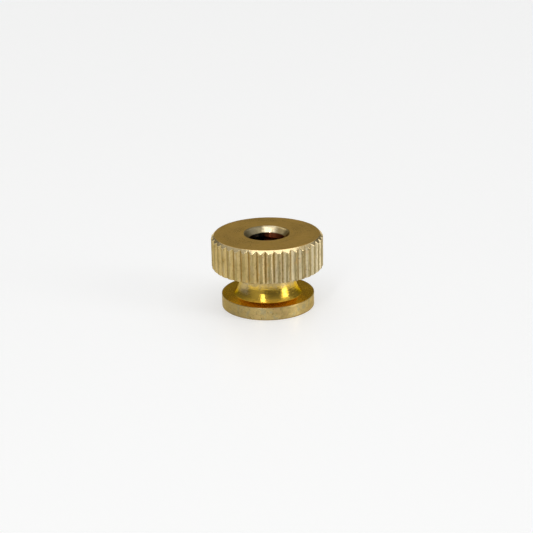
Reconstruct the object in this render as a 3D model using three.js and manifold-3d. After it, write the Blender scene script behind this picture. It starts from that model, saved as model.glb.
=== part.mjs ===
// Knurled thumb nut in brass: a straight-knurled head, a concave grooved neck and
// a plain collar flange, turned from one bar, with an M4 x 0.7 through thread.
//
// Millimetres. +Z runs up the thread axis from the flange to the head. The origin
// is the centre of the flange's underside. Angles are measured from -Y towards +X,
// so an angle a stands for the direction (sin a, -cos a).

import * as THREE from 'three';
import { mergeVertices } from 'three/addons/utils/BufferGeometryUtils.js';
import Module from 'manifold-3d';

// ---------------------------------------------------------------- dimensions
const HEIGHT = 8.0;              // flange underside to head top

const FLANGE_RADIUS = 5.0;
const FLANGE_THICKNESS = 1.4;
const FLANGE_EDGE = 0.05;        // edge break on both rims

const HEAD_RADIUS = 6.0;         // over the knurl crests
const HEAD_BOTTOM = 4.4;         // underside of the head
const HEAD_TOP_CHAMFER = 0.36;   // 45 degrees, top rim
const HEAD_BOTTOM_CHAMFER = 0.14;

const KNURL_COUNT = 40;          // straight ridges round the head
const KNURL_DEPTH = 0.26;
const KNURL_CREST = 0.2;         // width of the flat on top of a rounded ridge
const KNURL_SHOULDER = 0.56;     // width of a ridge part of the way down
const KNURL_SHOULDER_DROP = 0.11;
const KNURL_ROOT = 0.08;         // width of the groove's floor
const KNURL_PHASE = -0.274;      // angle of one ridge's centre line, radians

const NECK_WAIST_RADIUS = 2.97;  // thinnest place of the neck
const NECK_WAIST_Z = 3.25;
const NECK_ARC_RADIUS = 2.83;    // the groove's own radius
const NECK_ARC_STEPS = 10;

const THREAD_PITCH = 0.7;        // M4 coarse
const THREAD_MAJOR_RADIUS = 2.0;
const THREAD_MINOR_RADIUS = 1.65;
const THREAD_STEPS = 40;         // facets to a turn
const TOP_COUNTERSINK_RADIUS = 2.42;    // at the head's top face, 90 degrees
const BOTTOM_COUNTERSINK_RADIUS = 2.2;  // at the flange's underside, 90 degrees
const MOUTH_RADIUS = 1.9;               // inner end of the top countersink
const LEAD_IN = 0.7;                    // steeper taper below it, to the thread's crests

const BODY_STEPS = 2 * KNURL_COUNT;     // facets round the body, two to a ridge

// ---------------------------------------------------------------- booleans
const wasm = await Module();
wasm.setup();

function weld(geometry) {
  const g = geometry.clone();
  g.deleteAttribute('normal');
  g.deleteAttribute('uv');
  return mergeVertices(g, 1e-5);
}

// A closed, merged mesh as a solid. Faces that collapsed at the axis are dropped.
function solid(geometry) {
  const g = weld(geometry);
  const vertices = Float32Array.from(g.attributes.position.array);
  const index = g.index.array;
  const kept = [];
  let volume = 0;
  const a = new THREE.Vector3(), b = new THREE.Vector3(), c = new THREE.Vector3();
  for (let i = 0; i < index.length; i += 3) {
    const [p, q, r] = [index[i], index[i + 1], index[i + 2]];
    if (p === q || q === r || r === p) continue;
    kept.push(p, q, r);
    a.fromArray(vertices, 3 * p);
    b.fromArray(vertices, 3 * q);
    c.fromArray(vertices, 3 * r);
    volume += a.dot(b.cross(c)) / 6;
  }
  if (volume < 0) {
    for (let i = 0; i < kept.length; i += 3) {
      [kept[i], kept[i + 1]] = [kept[i + 1], kept[i]];
    }
  }
  return new wasm.Manifold(new wasm.Mesh({
    numProp: 3,
    vertProperties: vertices,
    triVerts: Uint32Array.from(kept),
  }));
}

function geometryOf(manifold) {
  const m = manifold.getMesh();
  const g = new THREE.BufferGeometry();
  const n = m.numProp;
  const position = new Float32Array((m.vertProperties.length / n) * 3);
  for (let i = 0; i < position.length / 3; i++) {
    position[3 * i] = m.vertProperties[n * i];
    position[3 * i + 1] = m.vertProperties[n * i + 1];
    position[3 * i + 2] = m.vertProperties[n * i + 2];
  }
  g.setAttribute('position', new THREE.BufferAttribute(position, 3));
  g.setIndex(new THREE.BufferAttribute(Uint32Array.from(m.triVerts), 1));
  return g;
}

// Revolves [radius, z] points about +Z, with the first facet's edge at `phase`.
function revolve(profile, steps, phase = 0) {
  const points = profile.map(([r, z]) => new THREE.Vector2(r, z));
  const g = new THREE.LatheGeometry(points, steps, 0, 2 * Math.PI);
  g.rotateX(Math.PI / 2);
  g.rotateZ(phase);
  return g;
}

// ---------------------------------------------------------------- turned blank
// The head is left slightly over size here, and the knurl cutter brings it down.
function turnedBlank() {
  const over = 0.05;
  const head = HEAD_RADIUS + over;
  const profile = [
    [0, 0],
    [FLANGE_RADIUS - FLANGE_EDGE, 0],
    [FLANGE_RADIUS, FLANGE_EDGE],
    [FLANGE_RADIUS, FLANGE_THICKNESS - FLANGE_EDGE],
    [FLANGE_RADIUS - FLANGE_EDGE, FLANGE_THICKNESS],
  ];
  const centre = NECK_WAIST_RADIUS + NECK_ARC_RADIUS;
  for (let i = 0; i <= NECK_ARC_STEPS; i++) {
    const z = FLANGE_THICKNESS +
      (HEAD_BOTTOM - FLANGE_THICKNESS) * (i / NECK_ARC_STEPS);
    const dz = z - NECK_WAIST_Z;
    profile.push([centre - Math.sqrt(NECK_ARC_RADIUS ** 2 - dz ** 2), z]);
  }
  profile.push(
    [HEAD_RADIUS - HEAD_BOTTOM_CHAMFER, HEAD_BOTTOM],
    [head, HEAD_BOTTOM + HEAD_BOTTOM_CHAMFER + over],
    [head, HEIGHT - HEAD_TOP_CHAMFER - over],
    [HEAD_RADIUS - HEAD_TOP_CHAMFER, HEIGHT],
    [0, HEIGHT],
  );
  return solid(revolve(profile, BODY_STEPS, KNURL_PHASE));
}

// ---------------------------------------------------------------- knurl cutter
// A ring whose inside is the outline of the ridges. Its height covers the head only.
function knurlCutter() {
  const ring = new THREE.Shape();
  const outer = HEAD_RADIUS + 2;
  ring.moveTo(-outer, -outer);
  ring.lineTo(outer, -outer);
  ring.lineTo(outer, outer);
  ring.lineTo(-outer, outer);
  ring.closePath();

  const root = HEAD_RADIUS - KNURL_DEPTH;
  const pitch = (2 * Math.PI) / KNURL_COUNT;
  const land = KNURL_CREST / 2 / HEAD_RADIUS;
  const shoulder = KNURL_SHOULDER / 2 / HEAD_RADIUS;
  const floor = KNURL_ROOT / 2 / root;
  const outline = [];
  for (let k = 0; k < KNURL_COUNT; k++) {
    const crest = KNURL_PHASE + k * pitch;
    const groove = crest + pitch / 2;
    for (const [angle, radius] of [
      [crest - land, HEAD_RADIUS],
      [crest + land, HEAD_RADIUS],
      [crest + shoulder, HEAD_RADIUS - KNURL_SHOULDER_DROP],
      [groove - floor, root],
      [groove + floor, root],
      [groove + pitch / 2 - shoulder, HEAD_RADIUS - KNURL_SHOULDER_DROP],
    ]) {
      outline.push(new THREE.Vector2(radius * Math.sin(angle), -radius * Math.cos(angle)));
    }
  }
  ring.holes.push(new THREE.Path(outline));

  const g = new THREE.ExtrudeGeometry(ring, {
    depth: HEIGHT + 0.6 - (HEAD_BOTTOM - 0.6),
    bevelEnabled: false,
    curveSegments: 1,
  });
  g.translate(0, 0, HEAD_BOTTOM - 0.6);
  return solid(g);
}

// ---------------------------------------------------------------- thread
// The space that an M4 tap clears. Each column of vertices follows the helix, so a
// turn ends one pitch above where it began, and the seam joins it to the next turn.
function tap() {
  const rise = Math.tan(Math.PI / 6) * (THREAD_MAJOR_RADIUS - THREAD_MINOR_RADIUS);
  const rootFlat = THREAD_PITCH / 8;
  const crestFlat = THREAD_PITCH - rootFlat - 2 * rise;
  const breaks = [
    [0, THREAD_MINOR_RADIUS],
    [crestFlat, THREAD_MINOR_RADIUS],
    [crestFlat + rise, THREAD_MAJOR_RADIUS],
    [crestFlat + rise + rootFlat, THREAD_MAJOR_RADIUS],
  ];
  const K = breaks.length;
  const low = -4 * THREAD_PITCH;
  const turns = Math.ceil((HEIGHT - low) / THREAD_PITCH) + 2;
  const J = turns * K;
  const heightOf = (j) => low + Math.floor(j / K) * THREAD_PITCH + breaks[j % K][0];
  // The first and last turns stay plain, so that both ends close cleanly.
  const radiusOf = (j) =>
    j < 2 * K || j > J - K ? THREAD_MINOR_RADIUS : breaks[j % K][1];

  const positions = [];
  const start = [];
  for (let i = 0; i < THREAD_STEPS; i++) {
    start.push(positions.length / 3);
    const a = (2 * Math.PI * i) / THREAD_STEPS;
    const top = i === 0 ? J + K : J;
    for (let j = 0; j <= top; j++) {
      const r = radiusOf(j);
      positions.push(
        r * Math.sin(a), -r * Math.cos(a),
        heightOf(j) + (THREAD_PITCH * i) / THREAD_STEPS);
    }
  }
  const at = (i, j) => (i === THREAD_STEPS ? start[0] + j + K : start[i] + j);
  const index = [];
  for (let i = 0; i < THREAD_STEPS; i++) {
    for (let j = 0; j < J; j++) {
      const a = at(i, j), b = at(i + 1, j), c = at(i + 1, j + 1), d = at(i, j + 1);
      index.push(a, b, c, a, c, d);
    }
  }
  // End fans, from a point on the axis to one turn of the helix and its step.
  const bottom = positions.length / 3;
  positions.push(0, 0, low - THREAD_PITCH);
  const top = bottom + 1;
  positions.push(0, 0, heightOf(J + K) + THREAD_PITCH);
  for (let i = 0; i < THREAD_STEPS; i++) {
    index.push(bottom, at(i + 1, 0), at(i, 0));
    index.push(top, at(i, J), at(i + 1, J));
  }
  for (let j = 0; j < K; j++) {
    index.push(bottom, start[0] + j, start[0] + j + 1);
    index.push(top, start[0] + J + j + 1, start[0] + J + j);
  }

  const g = new THREE.BufferGeometry();
  g.setAttribute('position', new THREE.Float32BufferAttribute(positions, 3));
  g.setIndex(index);
  return solid(g);
}

// 90 degree countersinks, with each cone carried a little past its face. The top one
// ends in a steeper lead-in that trims the first turns of the thread.
function countersinks() {
  const past = 0.3, deep = 1.1;
  const mouth = HEIGHT - (TOP_COUNTERSINK_RADIUS - MOUTH_RADIUS);
  const inner = THREAD_MINOR_RADIUS - 0.1;
  const low = mouth - LEAD_IN * (MOUTH_RADIUS - inner) / (MOUTH_RADIUS - THREAD_MINOR_RADIUS);
  const top = revolve([
    [0, low],
    [inner, low],
    [MOUTH_RADIUS, mouth],
    [TOP_COUNTERSINK_RADIUS + past, HEIGHT + past],
    [0, HEIGHT + past],
  ], BODY_STEPS, KNURL_PHASE);
  const bottom = revolve([
    [0, -past],
    [BOTTOM_COUNTERSINK_RADIUS + past, -past],
    [BOTTOM_COUNTERSINK_RADIUS - deep, deep],
    [0, deep],
  ], BODY_STEPS, KNURL_PHASE);
  return solid(top).add(solid(bottom));
}

// ---------------------------------------------------------------- the nut
const brass = new THREE.MeshStandardMaterial({
  name: 'brass',
  color: new THREE.Color().setRGB(0.62, 0.47, 0.22),
  roughness: 0.34,
  metalness: 1.0,
});

const body = turnedBlank()
  .subtract(knurlCutter())
  .subtract(tap())
  .subtract(countersinks());

const thumbNut = new THREE.Mesh(geometryOf(body), brass);
thumbNut.name = 'thumb_nut';

const nut = new THREE.Group();
nut.name = 'knurled_thumb_nut';
nut.add(thumbNut);

export default nut;
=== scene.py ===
"""Looks for the knurled brass thumb nut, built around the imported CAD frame.

The nut is one turned piece, so one closed mesh stands for the CAD node: fine knurl ridges with rounded
lands, the concave neck, the collar flange, countersinks and a full M4 x 0.7 helix, with small edge
radii everywhere. Lengths in the geometry section are millimetres and are scaled to metres at the end.
"""
import math

import bpy
import numpy as np
from mathutils import Matrix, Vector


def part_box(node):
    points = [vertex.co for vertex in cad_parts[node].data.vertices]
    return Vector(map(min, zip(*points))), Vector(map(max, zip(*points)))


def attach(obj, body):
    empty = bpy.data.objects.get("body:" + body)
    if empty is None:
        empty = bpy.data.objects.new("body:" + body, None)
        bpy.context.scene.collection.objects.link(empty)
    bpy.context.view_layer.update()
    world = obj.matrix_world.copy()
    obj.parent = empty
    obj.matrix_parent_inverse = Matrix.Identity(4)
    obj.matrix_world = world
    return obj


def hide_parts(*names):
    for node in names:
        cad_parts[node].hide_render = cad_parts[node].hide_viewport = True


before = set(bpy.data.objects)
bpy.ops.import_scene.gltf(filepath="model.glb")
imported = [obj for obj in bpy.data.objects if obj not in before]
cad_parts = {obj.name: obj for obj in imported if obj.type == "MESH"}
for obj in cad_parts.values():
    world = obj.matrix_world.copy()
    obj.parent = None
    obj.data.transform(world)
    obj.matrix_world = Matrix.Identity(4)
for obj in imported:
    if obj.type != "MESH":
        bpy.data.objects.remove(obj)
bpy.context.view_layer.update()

MM = 0.001
LOW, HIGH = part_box("thumb_nut")
HEIGHT = (HIGH.z - LOW.z) / MM          # 8.0
HEAD_R = (HIGH.x - LOW.x) / MM / 2      # 6.0

# ------------------------------------------------------------------ dimensions, mm
FLANGE_R, FLANGE_T = 5.0, 1.4
HEAD_Z = 4.4
TOP_R = HEAD_R - 0.36                   # inner edge of the 45 degree top chamfer
UNDER_R = HEAD_R - 0.14
KNURLS, KNURL_DEPTH, KNURL_PHASE = 40, 0.26, -0.274
NECK_R, NECK_Z, NECK_ARC = 2.97, 3.25, 2.83
PITCH, MAJOR, MINOR = 0.7, 2.0, 1.65
SINK_TOP, SINK_LOW = 2.42, 2.2
MOUTH, LEAD_IN = 1.9, 0.7               # inner end of the top countersink, and the taper below it
MOUTH_Z = 8.0 - (SINK_TOP - MOUTH)
LOW_MOUTH, LOW_Z = 2.0, 0.2             # inner end of the bottom countersink
COARSE = 240                            # columns on the plain turned surfaces

rng = np.random.default_rng(40)


# ------------------------------------------------------------------ camera
def make_camera():
    """19.8 degrees down from the front, a long lens, 1.1 degrees of roll."""
    unit = 6.0 * MM / 55.105
    dist, elev, roll, tx, ty = 1200.0, 0.346, 0.019, 1.718, 36.487
    right = np.array([1.0, 0.0, 0.0])
    up = np.array([0.0, math.sin(elev), math.cos(elev)])
    back = np.array([0.0, -math.cos(elev), math.sin(elev)])
    c, s = math.cos(roll), math.sin(roll)
    r2, u2 = right * c - up * s, right * s + up * c
    at = (back * dist - r2 * tx + u2 * ty) * unit
    data = bpy.data.cameras.new("camera")
    data.sensor_width = 36.0
    data.lens = dist / 533.0 * 36.0
    data.clip_start, data.clip_end = 0.005, 20.0
    cam = bpy.data.objects.new("camera", data)
    m = [[r2[i], u2[i], back[i], at[i]] for i in range(3)] + [[0, 0, 0, 1]]
    cam.matrix_world = Matrix(m)
    bpy.context.scene.collection.objects.link(cam)
    bpy.context.scene.camera = cam
    return cam


make_camera()


# ------------------------------------------------------------------ helpers
def smooth(t):
    t = np.clip(t, 0.0, 1.0)
    return t * t * (3 - 2 * t)


class Lattice:
    """Smooth value noise over (angle, height), periodic in angle, in -1..1."""

    def __init__(self, around, along, seed):
        self.n, self.m = around, along
        self.g = np.random.default_rng(seed).uniform(-1, 1, (around, along + 2))

    def __call__(self, theta, h):
        """theta in radians, h in 0..1."""
        a = (theta / (2 * math.pi)) % 1.0 * self.n
        b = np.clip(h, 0, 1) * (self.m - 1)
        i, j = np.floor(a).astype(int), np.floor(b).astype(int)
        fa, fb = smooth(a - i), smooth(b - j)
        i0, i1 = i % self.n, (i + 1) % self.n
        j1 = j + 1
        g = self.g
        return ((g[i0, j] * (1 - fa) + g[i1, j] * fa) * (1 - fb)
                + (g[i0, j1] * (1 - fa) + g[i1, j1] * fa) * fb)


def bezier(p, a, b, n):
    """n + 1 points from a to b, bent by the corner p."""
    out = []
    for i in range(n + 1):
        t = i / n
        out.append(tuple((1 - t) ** 2 * a[k] + 2 * t * (1 - t) * p[k] + t * t * b[k] for k in range(2)))
    return out


def fillet(prev, p, nxt, d, n=3):
    """The corner p of a polyline rounded over a length d on both sides."""
    def toward(q):
        v = (q[0] - p[0], q[1] - p[1])
        size = math.hypot(*v)
        return (p[0] + v[0] / size * d, p[1] + v[1] / size * d)
    return bezier(p, toward(prev), toward(nxt), n)


# ------------------------------------------------------------------ the mesh
ZONES = ["top_face", "chamfer", "knurl", "head_under", "neck", "flange_top", "flange_rim", "flange_under", "bore"]
verts, faces, zones = [], [], []
count = 0


def ring(theta, r, z):
    """Adds one ring of points and returns (first index, angles)."""
    global count
    theta = np.asarray(theta, float)
    r = np.broadcast_to(np.asarray(r, float), theta.shape)
    z = np.broadcast_to(np.asarray(z, float), theta.shape)
    verts.append(np.stack([r * np.sin(theta), -r * np.cos(theta), z], -1))
    first = count
    count += len(theta)
    return first, theta


def strip(a, b, zone, closed=True):
    """Faces between two rings. Rings of unequal counts are zipped by angle."""
    (fa, ta), (fb, tb) = a, b
    zone = ZONES.index(zone)
    if len(ta) == len(tb):
        n = len(ta)
        for i in range(n if closed else n - 1):
            j = (i + 1) % n
            faces.append((fa + i, fb + i, fb + j, fa + j))
            zones.append(zone)
        return
    n, m = len(ta), len(tb)
    xa = list(ta) + [ta[0] + 2 * math.pi]
    start = int(np.argmin(np.abs((tb - ta[0] + math.pi) % (2 * math.pi) - math.pi)))
    xb = [tb[(start + k) % m] for k in range(m + 1)]
    base = xa[0]
    for k in range(len(xb)):
        d = (xb[k] - base + math.pi) % (2 * math.pi) - math.pi if k == 0 else (xb[k] - xb[k - 1]) % (2 * math.pi)
        xb[k] = (base + d) if k == 0 else xb[k - 1] + d
    i = k = 0
    while i < n or k < m:
        if k >= m or (i < n and xa[i + 1] <= xb[k + 1]):
            faces.append((fa + i % n, fb + (start + k) % m, fa + (i + 1) % n))
            i += 1
        else:
            faces.append((fa + i % n, fb + (start + k) % m, fb + (start + k + 1) % m))
            k += 1
        zones.append(zone)


# --- angles
even = np.arange(COARSE) * 2 * math.pi / COARSE
half = [0.0, 0.06, 0.12, 0.17, 0.22, 0.265, 0.31, 0.35, 0.39, 0.425, 0.455, 0.48]
frac = np.array(half + [0.5] + [1 - h for h in reversed(half[1:])])     # one ridge, crest to crest
pitch_a = 2 * math.pi / KNURLS
fine = np.concatenate([KNURL_PHASE + (k + frac) * pitch_a for k in range(KNURLS)])

# --- knurl outline: rounded ridges between narrow grooves, every ridge a little different
ridge = np.repeat(np.arange(KNURLS), len(frac))
where = np.tile(frac, KNURLS)
near = np.where(where > 0.5, (ridge + 1) % KNURLS, ridge)               # the ridge that a point belongs to
off = np.where(where > 0.5, 1 - where, where)
round_part = rng.uniform(0.54, 0.68, KNURLS)                            # share of a ridge's half width that is rounded
crest_cut = rng.uniform(0.0, 0.014, KNURLS)
depth = rng.uniform(0.255, 0.285, KNURLS)


def knurl_radius(off, near, groove):
    """Radius over the outline. off is 0 on a ridge's centre line and 0.5 at the foot of the groove."""
    foot = np.sqrt((1 - 2 * off) ** 2 + 0.03 ** 2)
    t = np.clip(1 - foot, 0, 1)
    t0 = round_part[near]
    drop = np.where(t < t0, t * t / (2 * t0), t - t0 / 2) / (1 - t0 / 2)
    return HEAD_R - crest_cut[near] * (1 - t) - depth[groove] * drop


rk = knurl_radius(off, near, ridge)

wear = Lattice(220, 14, 7)
swell = Lattice(60, 6, 8)
dent = Lattice(420, 30, 9)

# --- top face, from the countersink's rim outwards
rings = []


def add(theta, r, z, zone):
    """Appends a ring; the strip that ends on it gets the zone."""
    rings.append((ring(theta, r, z), zone))


back = smooth((-np.cos(even) + 0.15) / 1.1)                              # 1 at the back of the hole
rim = SINK_TOP + 0.03 * back - 0.03 * np.sin(even) + 0.008 * Lattice(40, 3, 51)(even, 0.5)
round_over = 0.035 + 0.20 * back + 0.03 * back * Lattice(30, 3, 52)(even, 0.5)


def rim_point(t, theta_rim, size):
    """The rounded corner from the countersink (t = 0) to the top face (t = 1)."""
    a, b = (1 - t) ** 2 * size * math.sqrt(0.5), t * t * size
    return theta_rim - a + b, HEIGHT - a


mouth_r = MOUTH + 0.012 * Lattice(34, 3, 53)(even, 0.5)
chatter = Lattice(90, 7, 54)
r0, z0 = rim_point(0.0, rim, round_over)
add(even, mouth_r, MOUTH_Z, "bore")
for i in range(1, 8):
    k = i / 8
    add(even, mouth_r + (r0 - mouth_r) * k + 0.004 * chatter(even, k), MOUTH_Z + (z0 - MOUTH_Z) * k, "bore")
for t in (0.0, 0.2, 0.4, 0.6, 0.8, 1.0):
    r, z = rim_point(t, rim, round_over)
    add(even, r, z, "bore")
for r in (2.8, 2.95, 3.2, 3.6, 4.1, 4.6, 5.1, 5.4, 5.52):
    add(even, r, HEIGHT, "top_face")

# --- top chamfer down to the knurl, column by column
add(fine, TOP_R - 0.055, HEIGHT, "top_face")
edge_wave = 0.012 * Lattice(70, 3, 21)(fine, 0.5) + 0.006 * Lattice(260, 3, 22)(fine, 0.5)
tr = TOP_R + edge_wave
for p in bezier((0, 0), (-0.022, 0), (0.014, -0.014), 3):
    add(fine, tr + p[0], HEIGHT + p[1], "top_face")
z_int = HEIGHT - (rk - tr)
span = rk - tr
for s in (0.3, 0.6):
    add(fine, tr + span * s, HEIGHT - span * s, "chamfer")
d = np.minimum(0.06, span * 0.45)
for t in (0.0, 0.2, 0.4, 0.6, 0.8, 1.0):
    r = rk - d * 0.707 * (1 - t) ** 2
    z = z_int + d * 0.707 * (1 - t) ** 2 - d * t * t
    add(fine, r, z, "chamfer")
under = np.minimum(UNDER_R, rk - 0.03)
z_b = HEAD_Z + (rk - under)
z_top, z_low = z_int - d, z_b + 0.02
for s in np.linspace(0, 1, 19)[1:]:
    z = z_top + (z_low - z_top) * s
    fade = math.sin(math.pi * min(max(s, 0.02), 0.98)) ** 0.5
    bump = (0.0055 * wear(fine, s) + 0.004 * swell(fine, s) + 0.003 * dent(fine, s)) * fade
    add(fine, np.minimum(rk + bump - 0.004 * fade, HEAD_R), z, "knurl")
for t in (0.5, 1.0):
    add(fine, rk - 0.014 * t * t, z_b + 0.02 * (1 - t) ** 2 - 0.014 * t * t, "knurl")
for t in (0.0, 0.5, 1.0):
    add(fine, under + 0.01 * (1 - t) ** 2 - 0.02 * t * t, HEAD_Z + 0.01 * (1 - t) ** 2, "knurl")
add(fine, under - 0.045, HEAD_Z, "head_under")

# --- underside of the head, neck, flange
centre = NECK_R + NECK_ARC


def neck_r(z):
    return centre - math.sqrt(NECK_ARC ** 2 - (z - NECK_Z) ** 2)


for r in (5.58, 5.3, 4.8, 4.3, 3.8, 3.4):
    add(even, r, HEAD_Z, "head_under")
top_corner = (neck_r(HEAD_Z), HEAD_Z)
for p in fillet((3.6, HEAD_Z), top_corner, (neck_r(HEAD_Z - 0.1), HEAD_Z - 0.1), 0.05, 4):
    add(even, p[0], p[1], "neck")
turned = Lattice(24, 60, 31)
a0 = math.asin((HEAD_Z - 0.07 - NECK_Z) / NECK_ARC)
a1 = math.asin((FLANGE_T + 0.05 - NECK_Z) / NECK_ARC)
for i in range(45):
    a = a0 + (a1 - a0) * i / 44
    z = NECK_Z + NECK_ARC * math.sin(a)
    r = centre - NECK_ARC * math.cos(a)
    edge = math.sin(math.pi * i / 44)
    add(even, r + 0.007 * edge * turned(even, i / 44.0), z, "neck")
foot = (neck_r(FLANGE_T), FLANGE_T)
for p in fillet((neck_r(FLANGE_T + 0.1), FLANGE_T + 0.1), foot, (4.0, FLANGE_T), 0.035, 4):
    add(even, p[0], p[1], "neck")
flange_wave = Lattice(36, 6, 33)
for r in (3.75, 4.0, 4.3, 4.6, 4.8, 4.9):
    add(even, r, FLANGE_T, "flange_top")
lip = 0.010 * Lattice(50, 3, 34)(even, 0.5) + 0.006 * Lattice(110, 3, 35)(even, 0.5)
for i, p in enumerate(bezier((FLANGE_R, FLANGE_T), (FLANGE_R - 0.05, FLANGE_T), (FLANGE_R, FLANGE_T - 0.05), 4)):
    w = math.sin(math.pi * i / 4)
    add(even, p[0] - 0.3 * abs(lip) * w, p[1] + 0.4 * lip * w, "flange_rim" if i else "flange_top")
for s in np.linspace(0, 1, 10)[1:-1]:
    add(even, FLANGE_R - 0.004 + 0.004 * flange_wave(even, s), FLANGE_T - 0.05 - (FLANGE_T - 0.1) * s, "flange_rim")
for p in bezier((FLANGE_R, 0), (FLANGE_R, 0.05), (FLANGE_R - 0.05, 0), 4):
    add(even, p[0], p[1], "flange_rim")
for r in (4.85, 4.4, 3.8, 3.2, 2.6, 2.3):
    add(even, r, 0.0, "flange_under")
for p in fillet((SINK_LOW + 1, 0.0), (SINK_LOW, 0.0), (SINK_LOW - 1, 1.0), 0.035, 4):
    add(even, p[0], p[1], "bore")
add(even, LOW_MOUTH, LOW_Z, "bore")

for (a, _), (b, zone) in zip(rings, rings[1:]):
    strip(a, b, zone)

# --- thread: columns follow the helix and are held between the two countersinks' inner ends
crest = PITCH * 7 / 8 - 2 * math.tan(math.pi / 6) * (MAJOR - MINOR)
rise = math.tan(math.pi / 6) * (MAJOR - MINOR)
steps = [
    (0.0, MINOR + 0.010), (0.018, MINOR), (crest / 2, MINOR), (crest - 0.018, MINOR), (crest, MINOR + 0.010),
    (crest + rise / 2, (MAJOR + MINOR) / 2), (crest + rise, MAJOR - 0.012),
    (crest + rise + PITCH / 16, MAJOR), (crest + rise + PITCH / 8, MAJOR - 0.012),
    (crest + 1.5 * rise + PITCH / 8, (MAJOR + MINOR) / 2),
]
K = len(steps)
theta = np.arange(COARSE + 1) * 2 * math.pi / COARSE
lead = PITCH * ((theta / (2 * math.pi)) + 0.55)
turns = int(math.ceil(HEIGHT / PITCH)) + 4
mouth = mouth_r[np.arange(COARSE + 1) % COARSE]
helix = []
for j in range(turns * K + 1):
    s, r = steps[j % K]
    z = np.clip(-3 * PITCH + (j // K) * PITCH + s + lead, LOW_Z, MOUTH_Z)
    # The first and last turns fade out into the tapers at the mouths.
    fade = smooth((MOUTH_Z - z) / 0.40) * smooth((z - LOW_Z) / 0.30)
    thread = MINOR + (r - MINOR) * fade
    rr = np.maximum(thread, mouth - (MOUTH - MINOR) / LEAD_IN * (MOUTH_Z - z))
    rr = np.maximum(rr, LOW_MOUTH - 0.9 * (z - LOW_Z))
    helix.append(ring(theta, rr, z))
for a, b in zip(helix, helix[1:]):
    strip(a, b, "bore", closed=False)

# --- weld, drop what collapsed, build
points = np.concatenate(verts)
keys = np.round(points * 2e4).astype(np.int64)
_, first, inverse = np.unique(keys, axis=0, return_index=True, return_inverse=True)
inverse = inverse.reshape(-1)
points = points[first]
clean, clean_zone = [], []
for f, zone in zip(faces, zones):
    g = []
    for i in f:
        k = int(inverse[i])
        if k not in g:
            g.append(k)
    if len(g) >= 3:
        clean.append(g)
        clean_zone.append(zone)
mesh = bpy.data.meshes.new("thumb_nut_surface")
mesh.from_pydata((points * MM).tolist(), [], clean)
for zone in ZONES:
    mesh.materials.append(bpy.data.materials.new("brass_" + zone))
mesh.polygons.foreach_set("material_index", clean_zone)
mesh.polygons.foreach_set("use_smooth", [True] * len(clean))
mesh.update()
mesh.set_sharp_from_angle(angle=math.radians(38))
nut = bpy.data.objects.new("thumb_nut_surface", mesh)
bpy.context.scene.collection.objects.link(nut)

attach(nut, "root")
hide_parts("thumb_nut")


# ------------------------------------------------------------------ node helpers
class Tree:
    """Writes a node tree as expressions."""

    def __init__(self, tree):
        self.t = tree
        self.t.nodes.clear()

    def node(self, kind, **props):
        n = self.t.nodes.new(kind)
        for k, v in props.items():
            setattr(n, k, v)
        return n

    def put(self, socket, value):
        if isinstance(value, bpy.types.NodeSocket):
            self.t.links.new(value, socket)
        elif value is not None:
            socket.default_value = value

    def math(self, op, a, b=None, c=None, clamp=False):
        n = self.node("ShaderNodeMath", operation=op, use_clamp=clamp)
        for i, v in enumerate((a, b, c)):
            self.put(n.inputs[i], v)
        return n.outputs[0]

    def vec(self, x=0.0, y=0.0, z=0.0):
        n = self.node("ShaderNodeCombineXYZ")
        for i, v in enumerate((x, y, z)):
            self.put(n.inputs[i], v)
        return n.outputs[0]

    def split(self, v):
        n = self.node("ShaderNodeSeparateXYZ")
        self.put(n.inputs[0], v)
        return n.outputs

    def step(self, v, lo, hi, to_lo=0.0, to_hi=1.0):
        """A smooth step from lo to hi."""
        n = self.node("ShaderNodeMapRange", interpolation_type="SMOOTHSTEP")
        for i, x in enumerate((v, lo, hi, to_lo, to_hi)):
            self.put(n.inputs[i], x)
        return n.outputs[0]

    def line(self, v, lo, hi, to_lo=0.0, to_hi=1.0, clamp=True):
        n = self.node("ShaderNodeMapRange", clamp=clamp)
        for i, x in enumerate((v, lo, hi, to_lo, to_hi)):
            self.put(n.inputs[i], x)
        return n.outputs[0]

    def noise(self, vector, scale, detail=3.0, rough=0.5, dist=0.0, out=0):
        n = self.node("ShaderNodeTexNoise")
        self.put(n.inputs["Vector"], vector)
        n.inputs["Scale"].default_value = scale
        n.inputs["Detail"].default_value = detail
        n.inputs["Roughness"].default_value = rough
        n.inputs["Distortion"].default_value = dist
        return n.outputs[out]

    def cells(self, vector, scale, feature="F1", rand=1.0, out=0):
        n = self.node("ShaderNodeTexVoronoi", feature=feature)
        self.put(n.inputs["Vector"], vector)
        n.inputs["Scale"].default_value = scale
        n.inputs["Randomness"].default_value = rand
        return n.outputs[out]

    def mix(self, f, a, b, mode="MIX"):
        n = self.node("ShaderNodeMix", data_type="RGBA", blend_type=mode)
        self.put(n.inputs[0], f)
        for s, v in ((n.inputs[6], a), (n.inputs[7], b)):
            if isinstance(v, (tuple, list)) and len(v) == 3:
                v = (*v, 1.0)
            self.put(s, v)
        return n.outputs[2]

    def lerp(self, f, a, b):
        n = self.node("ShaderNodeMix", data_type="FLOAT")
        self.put(n.inputs[0], f)
        self.put(n.inputs[2], a)
        self.put(n.inputs[3], b)
        return n.outputs[0]


def srgb(r, g, b):
    def f(c):
        c /= 255.0
        return c / 12.92 if c <= 0.04045 else ((c + 0.055) / 1.055) ** 2.4
    return (f(r), f(g), f(b))


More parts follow.
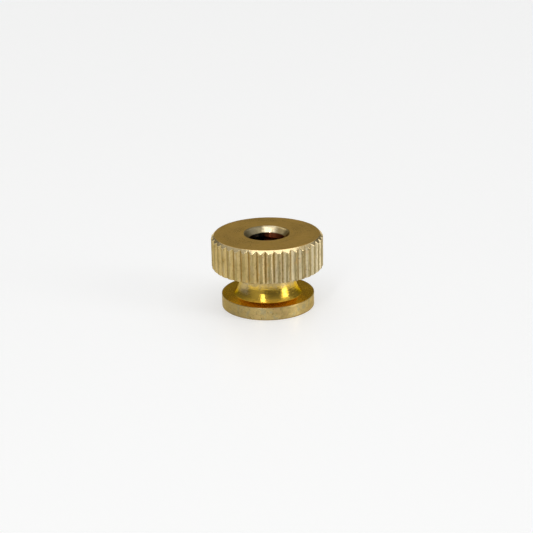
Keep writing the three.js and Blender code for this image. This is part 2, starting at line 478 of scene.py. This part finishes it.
# ------------------------------------------------------------------ brass
def brass(zone, clean, dull, dark, rough, marks, spots=0.5, mottle=0.5, grain=1.0, extra=None, edge=(0.95, 0.82, 0.55)):
    """One zone's brass.
    clean, dull, dark: reflectance of bare, tarnished and stained metal. rough: (bare, tarnished).
    marks: "rings" for a faced surface, "turned" for a turned one, "drawn" for lines along the axis."""
    mat = bpy.data.materials["brass_" + zone]
    mat.use_nodes = True
    t = Tree(mat.node_tree)
    out = t.node("ShaderNodeOutputMaterial")
    bsdf = t.node("ShaderNodeBsdfPrincipled")
    bsdf.inputs["Metallic"].default_value = 1.0
    bsdf.inputs["IOR"].default_value = 1.5
    bsdf.inputs["Specular Tint"].default_value = (*edge, 1.0)
    t.t.links.new(bsdf.outputs[0], out.inputs[0])

    coord = t.node("ShaderNodeTexCoord").outputs["Object"]
    scale = t.node("ShaderNodeVectorMath", operation="SCALE")
    t.put(scale.inputs[0], coord)
    scale.inputs["Scale"].default_value = 1000.0
    p = scale.outputs[0]                                    # millimetres
    x, y, z = t.split(p)
    r = t.math("SQRT", t.math("ADD", t.math("MULTIPLY", x, x), t.math("MULTIPLY", y, y)))

    broad = t.noise(p, 0.55, 3, 0.55)
    medium = t.noise(p, 2.6, 4, 0.6, 0.4)
    small = t.noise(p, 11.0, 3, 0.6)
    fine_n = t.noise(p, 45.0, 2, 0.6)

    # Lines left by the tool.
    if marks == "rings":
        v = t.vec(t.math("MULTIPLY", r, 1.0), t.math("MULTIPLY", small, 0.02), z)
        lines = t.noise(v, 26.0, 3, 0.65)
        coarse_lines = t.noise(v, 6.0, 2, 0.5)
    elif marks == "turned":
        v = t.vec(r, t.math("MULTIPLY", small, 0.03), z)
        lines = t.noise(v, 22.0, 3, 0.65)
        coarse_lines = t.noise(v, 5.0, 2, 0.5)
    else:
        v = t.vec(x, y, t.math("MULTIPLY", z, 0.035))
        lines = t.noise(v, 13.0, 4, 0.7)
        coarse_lines = t.noise(v, 4.2, 2, 0.5)

    # Tarnish: broad patches broken by finer ones.
    patina = t.math("ADD", t.math("MULTIPLY", broad, 0.55), t.math("MULTIPLY", medium, 0.45))
    patina = t.step(patina, 0.62 - 0.25 * mottle, 0.62 + 0.08, 0.0, 1.0)
    patina = t.math("ADD", patina, t.math("MULTIPLY", t.math("SUBTRACT", lines, 0.5), 0.5), clamp=True)

    # Pits and stain spots.
    wob = t.node("ShaderNodeVectorMath", operation="ADD")
    t.put(wob.inputs[0], p)
    t.put(wob.inputs[1], t.vec(t.math("MULTIPLY", small, 0.25), t.math("MULTIPLY", medium, 0.25), 0.0))
    cell = t.cells(wob.outputs[0], 1.9)
    pit = t.step(cell, 0.16, 0.09)
    cell2 = t.cells(wob.outputs[0], 4.6)
    pit2 = t.step(cell2, 0.17, 0.10)
    gate = t.step(t.noise(p, 1.1, 2, 0.5), 0.50, 0.58)
    pit = t.math("MULTIPLY", t.math("MAXIMUM", pit, t.math("MULTIPLY", pit2, gate)), spots, clamp=True)

    colour = t.mix(patina, clean, dull)
    colour = t.mix(t.math("MULTIPLY", t.step(medium, 0.52, 0.70), 0.55 * mottle), colour, dark)
    colour = t.mix(t.math("MULTIPLY", t.step(small, 0.55, 0.75), 0.25 * mottle), colour, clean)
    colour = t.mix(pit, colour, tuple(c * 0.25 for c in dark))
    shade = t.lerp(lines, 0.86, 1.12)
    gain = t.node("ShaderNodeVectorMath", operation="SCALE")
    t.put(gain.inputs[0], colour)
    t.put(gain.inputs["Scale"], shade)
    colour = gain.outputs[0]

    roughness = t.lerp(patina, rough[0], rough[1])
    roughness = t.math("ADD", roughness, t.math("MULTIPLY", t.math("SUBTRACT", lines, 0.5), 0.16))
    roughness = t.math("ADD", roughness, t.math("MULTIPLY", pit, 0.3), clamp=True)

    height = t.math("MULTIPLY", t.math("SUBTRACT", lines, 0.5), 1.0)
    height = t.math("ADD", height, t.math("MULTIPLY", coarse_lines, 0.8))
    height = t.math("ADD", height, t.math("MULTIPLY", fine_n, 0.35 * grain))
    height = t.math("ADD", height, t.math("MULTIPLY", small, 0.7 * grain))
    height = t.math("SUBTRACT", height, t.math("MULTIPLY", pit, 2.0))
    bump = t.node("ShaderNodeBump")
    bump.inputs["Strength"].default_value = 1.0
    bump.inputs["Distance"].default_value = 0.0016 * MM * grain
    t.put(bump.inputs["Height"], height)

    if extra:
        colour, roughness = extra(t, p, x, y, z, r, colour, roughness, dict(
            patina=patina, lines=lines, small=small, medium=medium, broad=broad, fine=fine_n, pit=pit))
    t.put(bsdf.inputs["Base Color"], colour)
    t.put(bsdf.inputs["Roughness"], roughness)
    t.put(bsdf.inputs["Normal"], bump.outputs[0])
    return mat


def knurl_extra(t, p, x, y, z, r, colour, roughness, s):
    """Dull, spotted ridge tops, cleaner flanks streaked by the knurling wheel, a thin dark line in each groove.
    By side the knurl carries painted light and shade: on the +X side the flanks are painted paler as lit and the ridge
    tops darker as shaded; on the -X side all of it is tinted straw yellow as painted shade."""
    depth_in = t.math("SUBTRACT", HEAD_R, r)
    across = t.noise(t.vec(x, y, t.math("MULTIPLY", z, 0.10)), 7.0, 3, 0.6)
    streak = t.noise(t.vec(x, y, t.math("MULTIPLY", z, 0.05)), 9.0, 2, 0.7, 0.2)
    on_land = t.step(t.math("ADD", depth_in, t.math("MULTIPLY", t.math("SUBTRACT", across, 0.5), 0.10)), 0.085, 0.02)
    land = t.mix(t.step(s["small"], 0.40, 0.62), (0.37, 0.28, 0.118), (0.28, 0.21, 0.08))
    colour = t.mix(t.math("MULTIPLY", on_land, 0.72), colour, land)
    # Flanks: bright and dull streaks along the axis.
    colour = t.mix(t.math("MULTIPLY", t.step(streak, 0.55, 0.68), 0.70), colour, (0.78, 0.67, 0.45))
    colour = t.mix(t.math("MULTIPLY", t.step(streak, 0.45, 0.34), 0.72), colour, (0.28, 0.205, 0.06))
    # Stains: copper red, straw yellow and grey green, a few tenths of a millimetre across.
    tint = t.noise(t.vec(x, y, t.math("MULTIPLY", z, 0.55)), 2.1, 3, 0.6, 0.5)
    tint2 = t.noise(t.vec(t.math("ADD", x, 17.0), y, t.math("MULTIPLY", z, 0.6)), 2.4, 3, 0.6, 0.5)
    colour = t.mix(t.math("MULTIPLY", t.step(tint, 0.60, 0.68), 0.72), colour, (0.58, 0.34, 0.10))
    colour = t.mix(t.math("MULTIPLY", t.step(tint, 0.41, 0.33), 0.50), colour, (0.36, 0.32, 0.13))
    colour = t.mix(t.math("MULTIPLY", t.step(tint2, 0.58, 0.66), 0.45), colour, (0.50, 0.38, 0.24))
    speck = t.step(t.noise(p, 5.2, 2, 0.5), 0.640, 0.685)
    colour = t.mix(t.math("MULTIPLY", speck, 0.62), colour, (0.23, 0.145, 0.06))
    # Painted light and shade by side: paler flanks on +X as a painted highlight, darker ridge tops on +X as painted
    # shade, and a straw yellow tint on -X as painted shade.
    side = t.step(t.math("ADD", x, t.math("MULTIPLY", t.math("SUBTRACT", s["broad"], 0.5), 5.0)), -2.6, 2.8)
    flank = t.math("MULTIPLY", t.step(depth_in, 0.035, 0.085), t.step(depth_in, 0.235, 0.20))
    clean = t.mix(side, (0.66, 0.47, 0.16), (0.80, 0.71, 0.50))
    colour = t.mix(t.math("MULTIPLY", flank, 0.42), colour, clean)
    colour = t.mix(t.math("MULTIPLY", t.math("MULTIPLY", on_land, side), 0.40), colour, (0.24, 0.20, 0.10))
    colour = t.mix(t.math("MULTIPLY", t.math("SUBTRACT", 1.0, side), 0.30), colour, (0.50, 0.345, 0.085))
    foot = t.step(depth_in, 0.212, 0.238)
    colour = t.mix(t.math("MULTIPLY", foot, 0.40), colour, (0.27, 0.20, 0.06))
    roughness = t.math("ADD", roughness, t.math("MULTIPLY", on_land, 0.08))
    roughness = t.math("ADD", roughness, t.math("MULTIPLY", speck, 0.2), clamp=True)
    return colour, roughness


def bore_extra(t, p, x, y, z, r, colour, roughness, s):
    """The countersinks and the thread between them. The top countersink has a dull patch on the -X side, painted dark
    as shade, a brown patch on the +X side and bare metal between. The thread is painted as shade: nearly black on the
    -X side, maroon brown on the +X side."""
    # Painted shade: the -X side of the top countersink is painted dark; its extra roughness is real.
    dull_and_shaded_side = t.step(t.math("ADD", x, t.math("MULTIPLY", t.math("SUBTRACT", s["medium"], 0.5), 1.1)), -0.20, -0.60)
    patch = t.mix(t.step(s["small"], 0.30, 0.72), (0.21, 0.18, 0.11), (0.12, 0.10, 0.052))
    colour = t.mix(t.math("MULTIPLY", dull_and_shaded_side, 0.85), colour, patch)
    brown = t.step(t.math("ADD", x, t.math("MULTIPLY", t.math("SUBTRACT", s["small"], 0.5), 0.8)), 0.85, 1.35)
    colour = t.mix(t.math("MULTIPLY", brown, 0.75), colour, (0.42, 0.30, 0.115))
    roughness = t.math("ADD", roughness, t.math("MULTIPLY", dull_and_shaded_side, 0.16))

    wave = t.math("MULTIPLY", t.math("SUBTRACT", s["small"], 0.5), 0.10)
    inside = t.step(t.math("ADD", z, wave), MOUTH_Z + 0.015, MOUTH_Z - 0.045)
    inside = t.math("MULTIPLY", inside, t.step(z, LOW_Z, LOW_Z + 0.5))
    # Painted shade in the hole: the thread is painted nearly black on the -X side and maroon brown on the +X side, with
    # spots of bare metal.
    thread_shade_split = t.step(t.math("ADD", x, t.math("MULTIPLY", t.math("SUBTRACT", s["medium"], 0.5), 1.2)), -0.5, 0.4)
    thread_shade_colour = t.mix(thread_shade_split, (0.006, 0.005, 0.004), (0.19, 0.050, 0.020))
    bare = t.math("MULTIPLY", t.step(s["small"], 0.64, 0.76), 0.5)
    thread_shade_colour = t.mix(bare, thread_shade_colour, (0.44, 0.25, 0.08))
    colour = t.mix(inside, colour, thread_shade_colour)
    roughness = t.lerp(inside, roughness, 0.32)
    return colour, roughness


def rim_extra(t, p, x, y, z, r, colour, roughness, s):
    """Grey green blotches on the flange's edge, the -X side darkened brown as painted shade, and a painted contact
    shadow as a darker line at the foot.
    """
    blotch = t.noise(t.vec(x, y, t.math("MULTIPLY", z, 0.8)), 0.85, 4, 0.62, 0.8)
    colour = t.mix(t.math("MULTIPLY", t.step(blotch, 0.50, 0.62), 0.6), colour, (0.36, 0.325, 0.19))
    colour = t.mix(t.math("MULTIPLY", t.step(blotch, 0.46, 0.36), 0.5), colour, (0.50, 0.34, 0.15))
    speck = t.step(t.noise(p, 5.0, 2, 0.5), 0.66, 0.71)
    colour = t.mix(t.math("MULTIPLY", speck, 0.7), colour, (0.17, 0.12, 0.05))
    # Painted shade: the -X side of the rim is darkened brown.
    painted_shade_left = t.step(t.math("ADD", x, t.math("MULTIPLY", t.math("SUBTRACT", s["broad"], 0.5), 4.0)), -0.8, -3.4)
    colour = t.mix(t.math("MULTIPLY", painted_shade_left, 0.50), colour, (0.26, 0.185, 0.065))
    # Painted contact shadow: a darker line along the foot of the rim.
    painted_contact_shadow = t.step(t.math("ADD", z, t.math("MULTIPLY", t.math("SUBTRACT", s["small"], 0.5), 0.2)), 0.17, 0.05)
    colour = t.mix(t.math("MULTIPLY", painted_contact_shadow, 0.6), colour, (0.26, 0.17, 0.05))
    return colour, roughness


def neck_extra(t, p, x, y, z, r, colour, roughness, s):
    """Duller and paler high up under the head, the colour there painted darker toward tan as shade, with pale grey
    patches on the -X and +X sides as painted reflections, the -X one also rougher.
    """
    # Painted shade: high up under the head the colour is darkened toward tan; the extra roughness there is real.
    high = t.step(t.math("ADD", z, t.math("MULTIPLY", t.math("SUBTRACT", s["medium"], 0.5), 1.2)), 2.55, 3.15)
    tan = t.mix(t.step(s["small"], 0.40, 0.62), (0.55, 0.41, 0.17), (0.44, 0.33, 0.14))
    colour = t.mix(t.math("MULTIPLY", high, 0.9), colour, tan)
    # Painted reflection: a pale grey patch on the -X side, which is also made rougher.
    rubbed_and_painted_reflection = t.step(t.math("ADD", x, t.math("MULTIPLY", t.math("SUBTRACT", s["small"], 0.5), 1.6)), -1.85, -2.45)
    rubbed_and_painted_reflection = t.math("MULTIPLY", rubbed_and_painted_reflection, t.step(z, 1.7, 2.2))
    grey = t.mix(t.step(s["small"], 0.30, 0.72), (0.60, 0.52, 0.36), (0.44, 0.36, 0.21))
    colour = t.mix(t.math("MULTIPLY", rubbed_and_painted_reflection, 0.65), colour, grey)
    # Painted reflection: a pale patch high up on the +X side.
    painted_reflection_right = t.step(t.math("ADD", x, t.math("MULTIPLY", t.math("SUBTRACT", s["small"], 0.5), 1.2)), 2.0, 2.7)
    painted_reflection_right = t.math("MULTIPLY", painted_reflection_right, t.step(t.math("ADD", z, t.math("MULTIPLY", t.math("SUBTRACT", s["medium"], 0.5), 1.4)), 2.1, 3.4))
    colour = t.mix(t.math("MULTIPLY", painted_reflection_right, 0.50), colour, (0.62, 0.51, 0.32))
    spot = t.step(t.noise(p, 4.2, 3, 0.6), 0.60, 0.68)
    colour = t.mix(t.math("MULTIPLY", spot, 0.5), colour, (0.40, 0.26, 0.05))
    roughness = t.math("ADD", roughness, t.math("MULTIPLY", high, 0.10))
    roughness = t.math("ADD", roughness, t.math("MULTIPLY", rubbed_and_painted_reflection, 0.15), clamp=True)
    return colour, roughness


GOLD = (0.95, 0.80, 0.45)
brass("top_face", (0.69, 0.44, 0.14), (0.59, 0.37, 0.105), (0.49, 0.295, 0.07), (0.28, 0.40), "rings", 0.22, 1.0, 1.2, edge=GOLD)
brass("chamfer", (0.79, 0.63, 0.35), (0.66, 0.51, 0.26), (0.50, 0.38, 0.17), (0.18, 0.30), "turned", 0.2, 0.5, 0.9)
brass("knurl", (0.64, 0.51, 0.27), (0.46, 0.36, 0.17), (0.30, 0.225, 0.09), (0.32, 0.50), "drawn", 0.7, 0.8, 1.8, knurl_extra, edge=(0.76, 0.66, 0.44))
brass("head_under", (0.76, 0.61, 0.32), (0.66, 0.51, 0.25), (0.50, 0.38, 0.17), (0.26, 0.38), "rings", 0.4, 0.5, 0.8)
brass("neck", (0.82, 0.53, 0.080), (0.63, 0.40, 0.045), (0.38, 0.235, 0.022), (0.13, 0.27), "turned", 0.5, 1.0, 2.0, neck_extra, edge=(0.95, 0.76, 0.30))
brass("flange_top", (0.68, 0.47, 0.065), (0.58, 0.385, 0.045), (0.46, 0.28, 0.025), (0.20, 0.34), "rings", 0.4, 0.7, 1.0, edge=(0.82, 0.47, 0.36))
brass("flange_rim", (0.54, 0.40, 0.155), (0.43, 0.315, 0.12), (0.31, 0.225, 0.08), (0.26, 0.44), "turned", 0.7, 0.8, 1.3, rim_extra)
brass("flange_under", (0.66, 0.47, 0.20), (0.54, 0.39, 0.18), (0.40, 0.29, 0.13), (0.30, 0.42), "rings", 0.5, 0.5, 0.8)
brass("bore", (0.86, 0.74, 0.50), (0.62, 0.49, 0.27), (0.44, 0.34, 0.16), (0.16, 0.32), "turned", 0.4, 0.8, 1.0, bore_extra, edge=(0.55, 0.42, 0.26))


# ------------------------------------------------------------------ floor
def make_floor():
    """A pale, slightly glossy table lit softly from below, so that shadows stay faint."""
    n, size = 8, 3.0
    v = [((i / n - 0.5) * 2 * size, (j / n - 0.5) * 2 * size, -2e-5) for j in range(n + 1) for i in range(n + 1)]
    f = [(j * (n + 1) + i, j * (n + 1) + i + 1, (j + 1) * (n + 1) + i + 1, (j + 1) * (n + 1) + i)
         for j in range(n) for i in range(n)]
    m = bpy.data.meshes.new("floor")
    m.from_pydata(v, [], f)
    floor = bpy.data.objects.new("floor", m)
    bpy.context.scene.collection.objects.link(floor)
    mat = bpy.data.materials.new("floor")
    mat.use_nodes = True
    t = Tree(mat.node_tree)
    out = t.node("ShaderNodeOutputMaterial")
    bsdf = t.node("ShaderNodeBsdfPrincipled")
    t.t.links.new(bsdf.outputs[0], out.inputs[0])
    coord = t.node("ShaderNodeTexCoord").outputs["Object"]
    v = t.noise(coord, 9.0, 2, 0.5)
    t.put(bsdf.inputs["Base Color"], t.mix(v, (0.495, 0.497, 0.498), (0.505, 0.507, 0.508)))
    bsdf.inputs["Roughness"].default_value = 0.34
    bsdf.inputs["Emission Color"].default_value = (0.998, 1.0, 0.998, 1.0)
    bsdf.inputs["Emission Strength"].default_value = 0.488
    bsdf.inputs["Specular IOR Level"].default_value = 0.45
    m.materials.append(mat)


make_floor()


# ------------------------------------------------------------------ light
PANEL = 1.22
LEVEL = 0.82                            # everything above the horizon


def make_world():
    """A room that is dim at the horizon, with a large soft panel overhead and two soft upright panels."""
    world = bpy.data.worlds.new("studio")
    bpy.context.scene.world = world
    world.use_nodes = True
    t = Tree(world.node_tree)
    out = t.node("ShaderNodeOutputWorld")
    d = t.node("ShaderNodeTexCoord").outputs["Generated"]
    x, y, z = t.split(d)
    up = t.math("MAXIMUM", z, 0.02)
    u, v = t.math("DIVIDE", x, up), t.math("DIVIDE", y, up)

    azimuth = t.math("MULTIPLY", t.math("ARCTAN2", x, t.math("MULTIPLY", y, -1.0)), 180 / math.pi)
    elevation = t.math("MULTIPLY", t.math("ARCSINE", z), 180 / math.pi)
    # The room: dim behind at eye level, brighter high up at the sides and back, darkest in front on the right.
    ahead = t.line(azimuth, -75.0, 75.0)
    front = t.lerp(t.step(ahead, 0.34, 0.46), 0.50, 0.17)
    front = t.lerp(t.step(ahead, 0.82, 0.95), front, 0.36)
    low = t.lerp(t.step(y, -0.55, -0.15), front, 0.235)
    sides = t.lerp(t.step(x, -0.20, 0.45), 0.62, 0.85)
    high = t.lerp(t.step(z, 0.86, 0.97), t.lerp(t.step(y, 0.28, 0.60), sides, 1.45), 0.80)
    high = t.lerp(t.step(y, -0.25, -0.55), high, 0.40)
    base = t.lerp(t.step(z, 0.40, 0.72), low, high)

    def panel(a, a0, a1, b, b0, b1, sa, sb):
        m = t.math("MULTIPLY", t.step(a, a0 - sa, a0 + sa), t.step(a, a1 + sa, a1 - sa))
        n = t.math("MULTIPLY", t.step(b, b0 - sb, b0 + sb), t.step(b, b1 + sb, b1 - sb))
        return t.math("MULTIPLY", m, n)

    above = t.math("MULTIPLY", panel(u, -0.46, 0.80, v, -0.62, 0.12, 0.05, 0.05), t.step(z, 0.02, 0.06))
    left = panel(azimuth, -22, -18.5, elevation, 24, 62, 1.5, 4)
    left_wide = panel(azimuth, -25, -16, elevation, 46, 64, 2, 4)
    right = panel(azimuth, 60, 77, elevation, 3, 32, 3, 5)

    light = t.math("ADD", base, t.math("MULTIPLY", above, PANEL))
    light = t.math("ADD", light, t.math("MULTIPLY", left, 17.0))
    light = t.math("ADD", light, t.math("MULTIPLY", left_wide, 6.0))
    light = t.math("ADD", light, t.math("MULTIPLY", right, 7.0))
    room = t.node("ShaderNodeBackground")
    t.put(room.inputs["Color"], (1.0, 1.0, 0.995, 1.0))
    t.put(room.inputs["Strength"], t.math("MULTIPLY", light, LEVEL))
    plain = t.node("ShaderNodeBackground")
    t.put(plain.inputs["Color"], (0.92, 0.92, 0.92, 1.0))
    seen = t.node("ShaderNodeLightPath").outputs["Is Camera Ray"]
    mix = t.node("ShaderNodeMixShader")
    t.t.links.new(seen, mix.inputs[0])
    t.t.links.new(room.outputs[0], mix.inputs[1])
    t.t.links.new(plain.outputs[0], mix.inputs[2])
    t.t.links.new(mix.outputs[0], out.inputs[0])
    world.cycles.sampling_method = "MANUAL"
    world.cycles.sample_map_resolution = 1024


make_world()

scene = bpy.context.scene
scene.view_settings.view_transform = "Standard"
scene.view_settings.look = "None"
scene.view_settings.exposure = 0.0
scene.view_settings.gamma = 1.0
